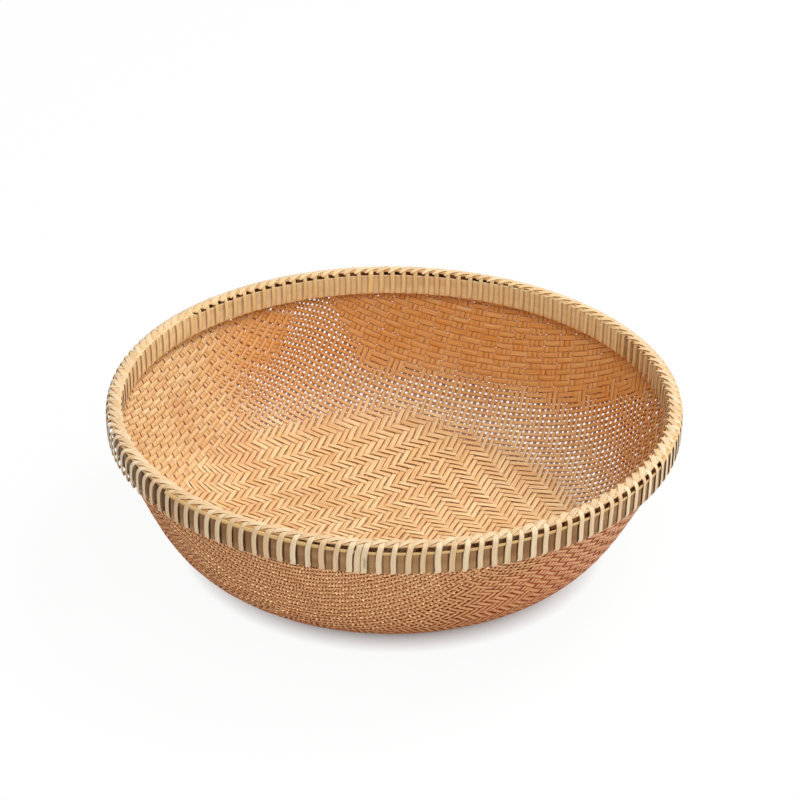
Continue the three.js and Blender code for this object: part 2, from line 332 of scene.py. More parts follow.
class Nodes:
    """Short hand for building the node tree of one material."""

    # Sockets of the Mix node that are for colours.
    MIX_SHARE, MIX_UNDER, MIX_OVER, MIX_RESULT = 0, 6, 7, 2

    def __init__(self, name: str) -> None:
        """Make an empty material with a principled shader.

        Args:
            name: Name of the material.
        """
        self.material = bpy.data.materials.new(name)
        self.material.use_nodes = True
        self.tree = self.material.node_tree
        self.shader = self.tree.nodes["Principled BSDF"]

    def add(self, kind: str, inputs: dict[int | str, object] | None = None,
            **settings: object) -> bpy.types.Node:
        """Add a node.

        Args:
            kind: Node type without the ShaderNode prefix.
            inputs: Constants or sockets for its inputs, by number or name.
            **settings: Properties of the node.

        Returns:
            The new node.
        """
        node = self.tree.nodes.new("ShaderNode" + kind)
        for key, value in settings.items():
            setattr(node, key, value)
        for key, value in (inputs or {}).items():
            self.feed(node.inputs[key], value)
        return node

    def feed(self, target: Socket, value: object) -> None:
        """Link a socket, or set its constant.

        Args:
            target: The input to feed.
            value: An output to link to it, or its constant.
        """
        if isinstance(value, Socket):
            self.tree.links.new(value, target)
        else:
            target.default_value = value

    def number(self, name: str) -> Socket:
        """Read a number that the mesh holds at each point."""
        return self.add("Attribute", attribute_name=name).outputs["Fac"]

    def place(self) -> Socket:
        """Read the place on the object."""
        return self.add("TexCoord").outputs["Object"]

    def streaks(self, kind: Streaks, other: str, layer: object) -> tuple[Socket, Socket]:
        """Draw streaks along a strip.

        Args:
            kind: The streaks to draw.
            other: Attribute that holds the place in the strip's second direction.
            layer: Third part of the place, which sets strips apart.

        Returns:
            The noise's socket, and the socket of the share that the streaks' colour has.
        """
        along, across = (self.times(self.number(name), scale)
                         for name, scale in zip(("along", other), kind.scales))
        place = self.add("CombineXYZ", {0: along, 1: across, 2: layer}).outputs[0]
        noise = self.noise(place, 1.0, kind.detail, kind.rough)
        return noise, self.span(noise, kind.ends, kind.share)

    def math(self, kind: str, first: object, second: object = 0.0) -> Socket:
        """Work out one number from two, with an operation of the Math node."""
        return self.add("Math", {0: first, 1: second}, operation=kind).outputs[0]

    def times(self, first: object, second: object) -> Socket:
        """Multiply two numbers."""
        return self.math("MULTIPLY", first, second)

    def plus(self, first: object, second: object) -> Socket:
        """Add two numbers."""
        return self.math("ADD", first, second)

    def span(self, value: object, ends: Pair, most: float = 1.0) -> Socket:
        """Turn the first end into nought and the second into one, and hold both.

        Args:
            value: The number to turn.
            ends: What becomes nought and what becomes one.
            most: Factor on the result.

        Returns:
            The result's socket.
        """
        inputs = {"Value": value, "From Min": ends[0], "From Max": ends[1]}
        share = self.add("MapRange", inputs, clamp=True).outputs["Result"]
        return share if most == 1.0 else self.times(share, most)

    def noise(self, where: Socket, scale: float, detail: float = 2.0,
              rough: float = 0.5) -> Socket:
        """Sample a noise.

        Args:
            where: Vector to sample at.
            scale: Scale of the noise.
            detail: Octaves.
            rough: Share of each finer octave.

        Returns:
            The noise's value from nought to one.
        """
        inputs = {"Vector": where, "Scale": scale, "Detail": detail, "Roughness": rough}
        return self.add("TexNoise", inputs).outputs["Fac"]

    def layers(self, first: Colour, rows: Sequence[tuple[object, Colour]]) -> Socket:
        """Lay shares of colours over one another.

        Args:
            first: The lowest colour.
            rows: Share and colour of each layer, from the lowest upwards.

        Returns:
            The mixed colour's socket.
        """
        base = srgb(first)
        for share, colour in rows:
            inputs = {self.MIX_SHARE: share, self.MIX_UNDER: base, self.MIX_OVER: srgb(colour)}
            mixed = self.add("Mix", inputs, data_type="RGBA", clamp_result=False)
            base = mixed.outputs[self.MIX_RESULT]
        return base

    def bump(self, height: Socket, distance: float, strength: float) -> None:
        """Give the shader a bump of the distance in metres."""
        inputs = {"Strength": strength, "Distance": distance, "Height": height}
        self.feed(self.shader.inputs["Normal"], self.add("Bump", inputs).outputs[0])

    def surface(self, colour: object, rough: float, specular: float) -> bpy.types.Material:
        """Set the shader's main sockets.

        Args:
            colour: The base colour, or its socket.
            rough: The roughness.
            specular: The gloss.

        Returns:
            The finished material.
        """
        self.feed(self.shader.inputs["Base Color"], colour)
        self.shader.inputs["Roughness"].default_value = rough
        self.shader.inputs["Specular IOR Level"].default_value = specular
        return self.material


@dataclass(frozen=True, kw_only=True)
class Finish:
    """What every finish of the basket has: a name, a bump from its grain, and its gloss."""

    name: str
    bump_height: float = 0.00006
    bump_strength: float = 0.6
    roughness: float = 0.5
    specular: float = 0.2

    def surface(self, nodes: Nodes, colour: Socket, grain: Socket) -> bpy.types.Material:
        """Put a colour and a grain on the shader and return the material."""
        nodes.bump(grain, self.bump_height, self.bump_strength)
        return nodes.surface(colour, self.roughness, self.specular)


@dataclass(frozen=True, kw_only=True)
class SplintFinish(Finish):
    """Thin peeled bamboo: pale face, fine lengthwise fibres, and orange-brown split edges.

    The split edges' orange-brown is painted shade and glow of the gaps between splints. The face
    that looks out of the bowl is duller than the one that looks in, with a painted orange shade
    down each border. Faces that lie under other splints are darkened with painted shade, and the
    walls away from the light get a painted shade of deeper orange.
    """

    name: str = "splint_bamboo"
    pale: Colour = (247, 218, 168)
    deep: Colour = (233, 190, 134)
    fibre: Colour = (190, 120, 58)
    # Painted shade and glow of the gaps between splints, laid on the split edges.
    edge: Colour = (176, 78, 14)
    # Painted shade on faces that lie under other splints.
    hidden: Colour = (128, 34, 0)
    back: Colour = (228, 172, 116)
    # Painted shade: a deeper orange on the walls away from the light.
    warm: Colour = (224, 146, 62)
    # Painted orange shade down each border of the outer face, where the gaps show.
    border: Colour = (172, 58, 0)
    strand_layers: float = 731.0
    grain: Streaks = Streaks((0.05, 2.6), (0.48, 0.68), share=0.62, rough=0.6)
    streak: Streaks = Streaks((0.02, 0.8), (0.42, 0.72), detail=1.0)
    patch_scale: float = 26.0
    patch_ends: Pair = (0.5, 0.75)
    patch_share: float = 0.3
    orange_shade_by_streak: float = 1.1
    orange_shade_at_least: float = 0.4
    border_ends: Pair = (0.5, 1.1)
    edge_ends: Pair = (0.1, 0.9)
    back_share: float = 0.9
    bump_height: float = 0.00007
    bump_strength: float = 0.7
    specular: float = 0.25

    def make(self) -> bpy.types.Material:
        """Build the material.

        Returns:
            The finished material.
        """
        nodes = Nodes(self.name)
        tone, back = nodes.number("tone"), nodes.number("back")
        strand = nodes.times(tone, self.strand_layers)
        grain, grained = nodes.streaks(self.grain, "across", strand)
        streak, streaked = nodes.streaks(self.streak, "across", strand)
        patch = nodes.noise(nodes.place(), self.patch_scale)
        # Streaks make the painted orange shade uneven.
        taken = nodes.plus(nodes.times(streak, self.orange_shade_by_streak), self.orange_shade_at_least)
        aside = nodes.math("ABSOLUTE", nodes.number("across"))
        # Painted shade along the borders of the face that looks out of the bowl.
        border = nodes.times(nodes.span(aside, self.border_ends), back)
        return self.surface(nodes, nodes.layers(self.pale, (
            (nodes.span(tone, (0, 1)), self.deep),
            (streaked, self.deep),
            (nodes.span(patch, self.patch_ends, self.patch_share), self.fibre),
            (nodes.span(nodes.times(nodes.number("warm"), taken), (0, 1)), self.warm),
            (nodes.times(back, self.back_share), self.back),
            (grained, self.fibre),
            (nodes.times(border, self.back_share), self.border),
            (nodes.span(nodes.number("edge"), self.edge_ends), self.edge),
            (nodes.number("hidden"), self.hidden))), grain)


@dataclass(frozen=True)
class WrapCount:
    """How the wraps are shared out round the rim."""

    strands: int = 6
    loops: int = 23
    first_bearing: float = -97.6

    @property
    def total(self) -> int:
        """Number of wraps."""
        return self.strands * self.loops

    @property
    def pitch(self) -> float:
        """Angle from one wrap to the next in degrees."""
        return 360 / self.total

    def bearing(self, wrap: int) -> float:
        """Bearing of a wrap on the outer hoop."""
        return self.first_bearing + wrap * self.pitch


@dataclass(frozen=True, kw_only=True)
class HoopFinish(Finish):
    """Split bamboo strip: one broad face, with the pale flesh showing on the top edge.

    Where it lies under the wraps, painted shade darkens it beside each of them, mostly on one
    side.
    """

    face: Colour
    shade: Colour
    top: Colour | None = None
    top_ends: Pair = (82.0, 82.5)
    top_unevenness: float = 0.8
    wraps: WrapCount | None = None
    wrap_shift: float = 0.0
    # Painted shade beside each wrap, where the cane stands off the hoop.
    painted_shade: Colour = (58, 32, 14)
    painted_shade_share: float = 0.9
    painted_shade_even: float = 0.3
    painted_shade_ends: Pair = (0.35, 0.25)
    painted_shade_side: Pair = (0.03, -0.06)
    side_width: Pair = (-0.06, 0.06)
    grain: Streaks = Streaks((0.03, 2.2), (0.45, 0.7), share=0.45, detail=3.0, rough=0.6)
    patch: Streaks = Streaks((0.012, 0.12), (0.35, 0.65))
    patch_layer: float = 3.0

    def shade_beside_wraps(self, nodes: Nodes) -> Socket:
        """Share of the painted shade line on each side of a wrap, where the cane stands off the
        hoop.

        Args:
            nodes: The material that the share is for.

        Returns:
            The share's socket.
        """
        x, y, _ = nodes.add("SeparateXYZ", {0: nodes.place()}).outputs
        turn = nodes.times(nodes.math("ARCTAN2", y, x), self.wraps.total / FULL_TURN)
        zero = (self.wraps.first_bearing + self.wrap_shift) / self.wraps.pitch
        phase = nodes.math("FRACT", nodes.plus(nodes.math("SUBTRACT", turn, zero), 0.5))
        aside = nodes.math("SUBTRACT", phase, 0.5)
        line = nodes.span(nodes.math("ABSOLUTE", aside), self.painted_shade_ends)
        half = nodes.math("SUBTRACT", nodes.span(x, self.side_width), 0.5)
        shaded = nodes.span(nodes.times(aside, half), self.painted_shade_side, 1 - self.painted_shade_even)
        return nodes.times(nodes.times(line, nodes.plus(shaded, self.painted_shade_even)),
                           self.painted_shade_share)

    def make(self) -> bpy.types.Material:
        """Build the material.

        Returns:
            The finished material.
        """
        nodes = Nodes(self.name)
        grain, grained = nodes.streaks(self.grain, "height", 0.0)
        _, patched = nodes.streaks(self.patch, "height", self.patch_layer)
        rows = [(patched, self.shade), (grained, self.shade)]
        if self.wraps:
            rows.append((self.shade_beside_wraps(nodes), self.painted_shade))
        if self.top:
            height = nodes.plus(nodes.number("height"), nodes.times(grain, self.top_unevenness))
            rows.append((nodes.span(height, self.top_ends), self.top))
        return self.surface(nodes, nodes.layers(self.face, rows), grain)


@dataclass(frozen=True, kw_only=True)
class CaneFinish(Finish):
    """Flat cane: pale satin face with faint lengthwise lines and cut sides darkened with painted
    shade.
    """

    name: str = "lashing_cane"
    pale: Colour = (244, 222, 184)
    deep: Colour = (226, 190, 144)
    # Dark of the grain's lines, and painted shade on the cut sides.
    side: Colour = (132, 88, 46)
    gold: Colour = (255, 222, 158)
    stain: Colour = (84, 62, 48)
    strand_layers: float = 517.0
    grain: Streaks = Streaks((0.06, 2.2), (0.5, 0.75), share=0.35)
    patch: Streaks = Streaks((0.12, 1.0), (0.5, 0.8), share=0.5, detail=1.0)
    side_shade_ends: Pair = (0.8, 1.0)
    bump_height: float = 0.00005
    bump_strength: float = 0.5
    roughness: float = 0.42
    specular: float = 0.3

    def make(self) -> bpy.types.Material:
        """Build the material.

        Returns:
            The finished material.
        """
        nodes = Nodes(self.name)
        tone = nodes.number("tone")
        strand = nodes.times(tone, self.strand_layers)
        grain, grained = nodes.streaks(self.grain, "across", strand)
        _, patched = nodes.streaks(self.patch, "across", strand)
        return self.surface(nodes, nodes.layers(self.pale, (
            (nodes.span(tone, (0, 1)), self.deep),
            (patched, self.deep),
            (grained, self.side),
            (nodes.span(nodes.number("edge"), self.side_shade_ends), self.side),
            (nodes.number("gold"), self.gold),
            (nodes.number("stain"), self.stain))), grain)


# ---- The weave ----


@dataclass(frozen=True)
class BowlShape:
    """Surface through the middle of the weave: flat floor, round shoulder, upright wall."""

    floor_radius: float = 82.0
    corner_reach: float = 42.0
    side_reach: float = 40.0
    side_slope: float = 63.0
    wall_radius: float = 146.1
    upright_from: float = 67.6
    wall_top: float = 81.6
    spare_wall: float = 4.0
    half_weave: float = 0.57
    lean: float = 2.4
    floor_samples: int = 39
    curve_samples: int = 400
    wall_samples: int = 8

    def lean_at(self, height: Array) -> Array:
        """Distance that the weave leans to the left under the rim."""
        return self.lean * np.clip(1 - height / self.upright_from, 0, 1)

    def profile(self) -> tuple[Array, Array, Array, Array, Array]:
        """Trace the middle surface from the axis to a little past the wall's top.

        Returns:
            Length along the profile, radius, height, and the inward normal's two parts.
        """
        slope = math.radians(self.side_slope)
        corners = np.array([
            [self.floor_radius, 0.0],
            [self.floor_radius + self.corner_reach, 0.0],
            [self.wall_radius - self.side_reach * math.cos(slope),
             self.upright_from - self.side_reach * math.sin(slope)],
            [self.wall_radius, self.upright_from]])
        t = np.linspace(0, 1, self.curve_samples)[:, None]
        weights = np.hstack([(1 - t) ** 3, 3 * t * (1 - t) ** 2, 3 * t ** 2 * (1 - t), t ** 3])
        floor = np.linspace((0, 0), corners[0], self.floor_samples, endpoint=False)
        end = (self.wall_radius, self.wall_top + self.spare_wall)
        wall = np.linspace(corners[-1], end, self.wall_samples + 1)[1:]
        line = np.vstack([floor, weights @ corners, wall])
        run = unit(np.gradient(line, axis=0))
        normal = np.column_stack([-run[:, 1], run[:, 0]])
        middle = line + self.half_weave * normal
        return lengths(middle), *middle.T, *normal.T

    def top_length(self) -> float:
        """Length along the profile from the axis to the wall's top."""
        length, _, height, _, _ = (part[-self.wall_samples:] for part in self.profile())
        return float(np.interp(self.wall_top, height, length))


@dataclass(frozen=True)
class Stretch:
    """A stretch of the wall where the weave gapes, past a distance and between two bearings."""

    share: float
    reach: Pair
    left: Pair
    right: Pair

    def at(self, far: Array, way: Array) -> Array:
        """Share of the openness at each distance and bearing."""
        return self.share * ease(far, self.reach) * ease(way, self.left) * ease(way, self.right)


@dataclass(frozen=True)
class OpenStretches:
    """Where the walls' weave gapes, by bearing in the flat plan and distance from its middle.

    The band at the back begins farther out on the left, reaches farther at its two corners and
    less far on the left. The band at the front lies high, and a few splints there stand wide.
    """

    back_from: float = 90.0
    back_later: float = 14.0
    later_ends: Pair = (72, 105)
    back_to: float = 128.0
    corner_more: float = 60.0
    corner_right: Pair = (64, 14)
    corner_left: Pair = (112, 127)
    left_less: float = 44.0
    less_ends: Pair = (124, 140)
    fade_in: float = 18.0
    fade_out: float = 16.0
    back_left: Pair = (160, 140)
    back_right: Pair = (-40, -5)
    front: Stretch = Stretch(1.25, reach=(108, 126), left=(-150, -132), right=(-50, -68))
    sparse: Stretch = Stretch(1.6, reach=(164, 174), left=(-64, -56), right=(-40, -48))

    def at(self, u: Array, v: Array) -> Array:
        """Share of the weave's full openness: nought where it is tight, one where it gapes.

        Args:
            u: First coordinate in the flat plan.
            v: Second coordinate in the flat plan.

        Returns:
            The share at each place.
        """
        far = np.hypot(u, v)
        way = np.degrees(np.arctan2(v, u))
        start = self.back_from + self.back_later * ease(way, self.later_ends)
        corner = np.maximum(ease(way, self.corner_right), ease(way, self.corner_left))
        end = self.back_to + self.corner_more * corner - self.left_less * ease(way, self.less_ends)
        band = ease(far, (start, start + self.fade_in)) * ease(far, (end + self.fade_out, end))
        back = band * ease(way, self.back_left) * ease(way, self.back_right)
        return np.maximum(back + self.front.at(far, way), self.sparse.at(far, way))


@dataclass(frozen=True)
class WeavePlan:
    """Where the splints run, seen with the bowl rolled out flat, and which lies on top.

    The flat plan is turned by a bearing, and the splints have drifted in it as the floor was
    pressed down. On the left and front walls they are drawn together. Two mirror lines turn
    the floor's twill over. On the walls the splints that run round the bowl pass over three
    and under three like bricks in a wall.
    """

    bearing: float = -17.0
    spacing: float = 3.38
    press: float = 20.5
    press_radius: float = 112.0
    lean_along: float = 0.084
    bow_along: float = 3.7e-4
    fan_along: float = 7.2e-4
    lean_across: float = 0.060
    bow_across: float = 6.3e-4
    gather: float = 0.26
    gather_left: Pair = (-92.0, -150.0)
    left_middle: float = 45.0
    gather_front: Pair = (-106.0, -152.0)
    front_middle: float = 30.0
    gather_reach: float = 76.0
    left_lean: float = 0.13
    rounds: int = 80
    haste: float = 0.3
    group_shift: float = 0.10
    group_squeeze: float = 0.15
    float_length: int = 3
    mirror_along: int = 0
    mirror_across: int = -9
    wall_along: int = 36
    wall_across: int = 40
    side_wall: Pair = (112, 126)
    end_wall: Pair = (128, 142)
    floor_cover: float = 0.91
    shoulder_cover: float = 0.05
    shoulder: Pair = (95, 135)
    wall_cover: float = 0.92
    left_cover: float = 0.06
    left_ends: Pair = (0, -60)
    open_cover: float = 0.65
    gaps: OpenStretches = OpenStretches()

    def pressed(self, u: Array, v: Array) -> Array:
        """Drift of the splints towards the back where the floor was pressed down."""
        share = np.clip(np.hypot(u, v) / self.press_radius, 0, 1)
        return self.press * (1 - share ** 2) ** 2

    def held(self, value: Array) -> Array:
        """Hold a distance from the middle of a gathered stretch once it is past its ends."""
        return value / (1 + (np.abs(value) / self.gather_reach) ** 4) ** 0.25

    def locate(self, a: Array, b: Array) -> tuple[Array, Array]:
        """Find the place in the flat plan where two splint lines meet.

        Args:
            a: Line number times spacing of the splints that run front to back.
            b: Line number times spacing of the splints that run left to right.

        Returns:
            The two coordinates in the flat plan.
        """
        turn = math.radians(self.bearing)
        u, v = a.copy(), b.copy()
        for _ in range(self.rounds):
            drift = self.pressed(u, v)
            left = ease(u, self.gather_left)
            front = ease(v, self.gather_front)
            next_u = (a - math.sin(turn) * drift + self.lean_along * v
                      + self.bow_along * u ** 2 + self.fan_along * u * v
                      - self.gather * front * self.held(a - self.front_middle)
                      + self.left_lean * left * self.held(v))
            next_v = (b - math.cos(turn) * drift - self.lean_across * u
                      - self.bow_across * u ** 2
                      - self.gather * left * self.held(b - self.left_middle))
            u, v = u + self.haste * (next_u - u), v + self.haste * (next_v - v)
        return u, v

    def wall_shares(self, u: Array, v: Array) -> tuple[Array, Array]:
        """Share of the side walls' and of the end walls' brick pattern at each place."""
        return ease(np.abs(u), self.side_wall), ease(np.abs(v), self.end_wall)

    def group(self, line: int) -> float:
        """Shift of a line, in spacings, where the walls' splints lie close in threes."""
        return self.group_shift - self.group_squeeze * (line % self.float_length - 1)

    def cover(self, u: Array, v: Array, grouped: Array) -> Array:
        """Share of their spacing that the splints cover.

        Args:
            u: First coordinate in the flat plan.
            v: Second coordinate in the flat plan.
            grouped: Share of lying close in threes.

        Returns:
            The covered share at each place.
        """
        floor = self.floor_cover + self.shoulder_cover * ease(np.hypot(u, v), self.shoulder)
        wall = self.wall_cover - self.left_cover * ease(u, self.left_ends)
        tight = floor + (wall - floor) * grouped
        return tight + (self.open_cover - tight) * self.gaps.at(u, v)

    def across_on_top(self, i: Array, j: Array) -> Array:
        """Tell where a left-to-right splint lies over a front-to-back one.

        Args:
            i: Line numbers of the front-to-back splints.
            j: Line numbers of the left-to-right splints.

        Returns:
            Plus one where the left-to-right splint is on top, minus one elsewhere.
        """
        size = self.float_length
        left = -np.abs(i - self.mirror_along)
        back = np.abs(j - self.mirror_across)
        floor = np.mod(left - back, 2 * size) < size
        side_wall = np.mod(i + np.floor_divide(j, size), 2) == 0
        end_wall = np.mod(j + np.floor_divide(i, size), 2) == 0
        out_side = np.abs(i) - self.wall_along
        out_end = np.abs(j) - self.wall_across
        top = np.where(np.maximum(out_side, out_end) < 0, floor,
                       np.where(out_side >= out_end, side_wall, end_wall))
        return np.where(top, 1.0, -1.0)


class Way(Enum):
    """The two ways that splints run."""

    ACROSS = "across"
    ALONG = "along"


@dataclass
class Course:
    """Where one splint runs in the flat plan, ring by ring, with its own small differences."""

    tone: float
    width: float
    steps: Array
    run: Array
    sway: Array
    swell: Array
    close: Array
    u: Array
    v: Array

    def cut(self, kept: slice) -> "Course":
        """Keep some of the rings."""
        rings = {name: part[kept] for name, part in vars(self).items() if np.ndim(part)}
        return replace(self, **rings)


# Corners of a splint's section, aside and up, in halves of its width and thickness.
SECTION = np.array([(-1, 0), (-1, 1), (1, 1), (1, 0), (1, -1), (-1, -1)], dtype=float)
RINGS_PER_CROSSING = 3


@dataclass
class SplintSet:
    """All the splints that run one way, in a few pieces.

    A range holds a value, and how much chance or the walls' calmer pattern changes it by. Rises
    are a splint's heights at the middle and the end of a float and on the slope between floats.
    """

    way: Way
    shape: BowlShape
    plan: WeavePlan
    seed: int
    thickness: float = 0.46
    rise: float = 0.27
    float_rise: float = 1.2
    end_rise: float = 0.95
    slope_rise: float = 0.6
    late_rise: float = 0.1
    corner: float = 0.34
    calm_corner: float = 0.6
    widest: float = 1.1
    width_range: Pair = (0.97, 0.06)
    wander: float = 0.12
    wander_length: Pair = (12, 14)
    wander_phase: float = 6.3
    unevenness: float = 0.09
    swelling: float = 0.035
    grouping_across: Pair = (1.0, 0.6)
    grouping_along: float = 0.4
    cut_range: float = 2.5
    fewest_rings: int = 12
    # Painted shade of the gaps on the split edges, less on the walls' calm pattern.
    edge_range: Pair = (0.8, 0.4)
    # How much painted shade the faces under other splints get, on the inner and on the outer face.
    inner_under_shade: Pair = (0.42, 0.38)
    outer_under_shade: tuple[float, float, float] = (1.2, 0.35, 0.92)
    # Where the walls away from the light get a painted shade of deeper orange.
    orange_shade_share: float = 0.8
    orange_shade_heights: Pair = (2, 44)
    orange_shade_right: Pair = (-20, 20)
    orange_shade_left: Pair = (150, 118)
    reach: int = 72
    parts: int = 3
    pieces: list[Piece] = field(default_factory=list)

    def surface(self, u: Array, v: Array) -> tuple[Array, Array]:
        """Find places and inward normals on the bowl from the flat plan.

        Args:
            u: First coordinate in the flat plan.
            v: Second coordinate in the flat plan.

        Returns:
            Rows of places in millimetres, and rows of normals.
        """
        length, *parts = self.shape.profile()
        radius, height, radial, upward = (
            np.interp(np.hypot(u, v), length, part) for part in parts)
        bearing = np.arctan2(v, u) + math.radians(self.plan.bearing)
        place = polar(radius, bearing, height)
        place[:, 0] -= self.shape.lean_at(height)
        return place, unit(polar(radial, bearing, upward))

    def over(self, crossing: Array, line: int) -> Array:
        """Tell where this splint lies over the ones that it crosses.

        Args:
            crossing: Line numbers of the splints that it crosses.
            line: Line number of the splint.

        Returns:
            Plus one where this splint is on top, minus one elsewhere.
        """
        own = np.full_like(crossing, line)
        if self.way is Way.ACROSS:
            return self.plan.across_on_top(crossing, own)
        return -self.plan.across_on_top(own, crossing)

    def lift(self, crossing: Array, line: int) -> Array:
        """Work out how high a splint stands at its crossings.

        Args:
            crossing: Line numbers of the splints that it crosses.
            line: Line number of the splint.

        Returns:
            The height in rises, most in the middle of a float.
        """
        here = self.over(crossing, line)
        near = self.over(crossing - 1, line) + self.over(crossing + 1, line)
        return here * np.where(here * near > 1, self.float_rise, self.end_rise)

    def rise_at(self, steps: Array, line: int) -> Array:
        """Height of a splint's middle above the bowl's middle surface.

        Args:
            steps: Numbers of the splint's rings.
            line: Line number of the splint.

        Returns:
            The height at each ring, in rises.
        """
        lower, part = np.divmod(steps, RINGS_PER_CROSSING)
        here, ahead = self.lift(lower, line), self.lift(lower + 1, line)
        level = (here * (RINGS_PER_CROSSING - part) + ahead * part) / RINGS_PER_CROSSING
        turning = (part != 0) & (np.sign(here) != np.sign(ahead))
        last = part == RINGS_PER_CROSSING - 1
        even = self.slope_rise * np.where(last, ahead, here)
        early = np.where(last, self.end_rise, self.late_rise) * ahead
        side_wall = self.way is Way.ALONG and abs(line) >= self.plan.wall_along
        return np.where(turning, early if side_wall else even, level)

    def ring_places(self, line: float, run: Array, sway: Array) -> tuple[Array, Array]:
        """Places in the flat plan along a line, with its sway."""
        fixed = line * self.plan.spacing + sway
        return self.plan.locate(*((run, fixed) if self.way is Way.ACROSS else (fixed, run)))

    def course(self, line: int, chance: np.random.Generator) -> Course | None:
        """Lay out one splint in the flat plan and cut it at the rim.

        Args:
            line: Line number of the splint.
            chance: Source of the small differences between splints.

        Returns:
            The splint's course, or None where it is too short to be held.
        """
        tone, wide, phase, wander, *cuts = chance.random(6)
        uneven = chance.normal(0.0, 1.0, (2, 2 * self.reach + 1))
        last = RINGS_PER_CROSSING * self.reach
        steps = np.arange(-last, last + 1)
        shift, swell = (np.interp(steps, steps[::RINGS_PER_CROSSING], row) for row in uneven)
        run = steps * self.plan.spacing / RINGS_PER_CROSSING
        side, end = self.plan.wall_shares(run, run)
        if self.way is Way.ACROSS:
            close, held = side, np.where(run < 0, *self.grouping_across)
        else:
            close, held = end, self.grouping_along
        length = self.wander_length[0] + self.wander_length[1] * wander
        sway = (self.wander * np.sin(run / length + self.wander_phase * phase)
                + held * self.plan.group(line) * self.plan.spacing * close
                + self.unevenness * shift)
        u, v = self.ring_places(line, run, sway)
        far = np.hypot(u, v)
        middle = steps[np.argmin(far)]
        cut = np.where(steps < middle, *cuts)
        beyond = np.flatnonzero(far > self.shape.top_length() - self.cut_range * cut)
        after = np.searchsorted(steps[beyond], middle)
        if after in (0, len(beyond)) or beyond[after] - beyond[after - 1] <= self.fewest_rings:
            return None
        width = self.width_range[0] + self.width_range[1] * wide
        whole = Course(tone, width, steps, run, sway, 1 + self.swelling * swell, close, u, v)
        return whole.cut(slice(beyond[after - 1] + 1, beyond[after]))

    def splint(self, line: int, course: Course) -> dict[str, Array]:
        """Make the rings of one splint.

        Args:
            line: Line number of the splint.
            course: Where it runs in the flat plan.

        Returns:
            Its points in millimetres, and the numbers that its finish reads.
        """
        place, normal = self.surface(course.u, course.v)
        lift = self.rise_at(course.steps, line)[:, None]
        centre = place + self.rise * lift * normal
        heading = unit(np.gradient(centre, axis=0))
        side = unit(np.cross(heading, normal))
        upper = np.cross(side, heading)
        near, far = (self.surface(*self.ring_places(line + aside, course.run, course.sway))[0]
                     for aside in (-0.5, 0.5))
        spacing = np.abs(np.sum((far - near) * side, axis=1))
        spacing = np.minimum(spacing, self.widest * self.plan.spacing)
        cover = self.plan.cover(course.u, course.v, course.close)
        half = (spacing * cover * course.width * course.swell / 2)[:, None]
        calm = np.maximum(course.close, self.plan.wall_shares(course.u, course.v)[0])[:, None]
        x, y = SECTION.T
        across = x * (half - (y != 0) * self.corner * (1 - self.calm_corner * calm))
        points = (centre[:, None] + across[..., None] * side[:, None]
                  + y[:, None] * self.thickness / 2 * upper[:, None])
        # The finish's numbers carry painted shade: of the gaps on the split edges, on faces that
        # lie under other splints, and a deeper orange on the walls away from the light.
        numbers = {
            "along": course.run[:, None],
            "across": across,
            "edge": (y == 0) * (self.edge_range[0] - self.edge_range[1] * calm),
            "tone": course.tone,
            "back": 0.5 - 0.5 * y,
            "hidden": self.depth(-y * lift, y, calm),
            "warm": self.orange_shade_by_place(place)[:, None]}
        return {"points": points.reshape(-1, 3)} | {
            name: np.broadcast_to(values, across.shape).ravel()
            for name, values in numbers.items()}

    def depth(self, below: Array, face: Array, calm: Array) -> Array:
        """Share of the painted shade on faces that lie under other splints.

        Args:
            below: How far the face lies under its neighbours, in rises.
            face: Plus one for the face that looks into the bowl, minus one for the other.
            calm: Share of the walls' calmer pattern.

        Returns:
            The share at each corner of each ring.
        """
        steep, least, most = self.outer_under_shade
        inner = np.clip(below, 0, 1) * (self.inner_under_shade[0] + self.inner_under_shade[1] * calm)
        return np.where(face > 0, inner, np.clip(steep * below + least, 0, 1) * most)

    def orange_shade_by_place(self, place: Array) -> Array:
        """Work out where the walls away from the light get a painted shade of deeper orange.

        Args:
            place: Rows of places in millimetres.

        Returns:
            The share of the painted orange shade at each place.
        """
        x, y, z = place.T
        bearing = np.degrees(np.arctan2(y, x))
        round_back = ease(bearing, self.orange_shade_right) * ease(bearing, self.orange_shade_left)
        return self.orange_shade_share * ease(z, self.orange_shade_heights) * round_back

    @staticmethod
    def faces(rings: int, start: int) -> list[tuple[int, ...]]:
        """List the faces of a closed strip.

        Args:
            rings: Number of its rings.
            start: Number of its first point.

        Returns:
            The point numbers of each face.
        """
        corners = len(SECTION)
        first = np.arange(rings * corners).reshape(rings, corners) + start
        beside = np.roll(first, -1, axis=1)
        sides = np.stack([first[:-1], beside[:-1], beside[1:], first[1:]], axis=2)
        return [*map(tuple, sides.reshape(-1, 4).tolist()),
                tuple(first[0, ::-1].tolist()), tuple(first[-1].tolist())]

    def build(self) -> None:
        """Make every splint and gather them in a few pieces."""
        chance = np.random.default_rng(self.seed)
        lines = range(-self.reach, self.reach + 1)
        courses = [(line, self.course(line, chance)) for line in lines]
        splints = [self.splint(line, course) for line, course in courses if course]
        log.info("%s splints: %d", self.way.value, len(splints))
        for part in range(self.parts):
            own = splints[part::self.parts]
            faces, start = [], 0
            for splint in own:
                faces += self.faces(len(splint["points"]) // len(SECTION), start)
                start += len(splint["points"])
            columns = {name: np.concatenate([splint[name] for splint in own])
                       for name in own[0]}
            mesh = bpy.data.meshes.new(f"splints_{self.way.value}_{part + 1}")
            mesh.from_pydata((columns.pop("points") * MM).tolist(), [], faces)
            mark(mesh, **columns)
            mesh.shade_smooth()
            piece = bpy.data.objects.new(mesh.name, mesh)
            bpy.context.collection.objects.link(piece)
            self.pieces.append(piece)

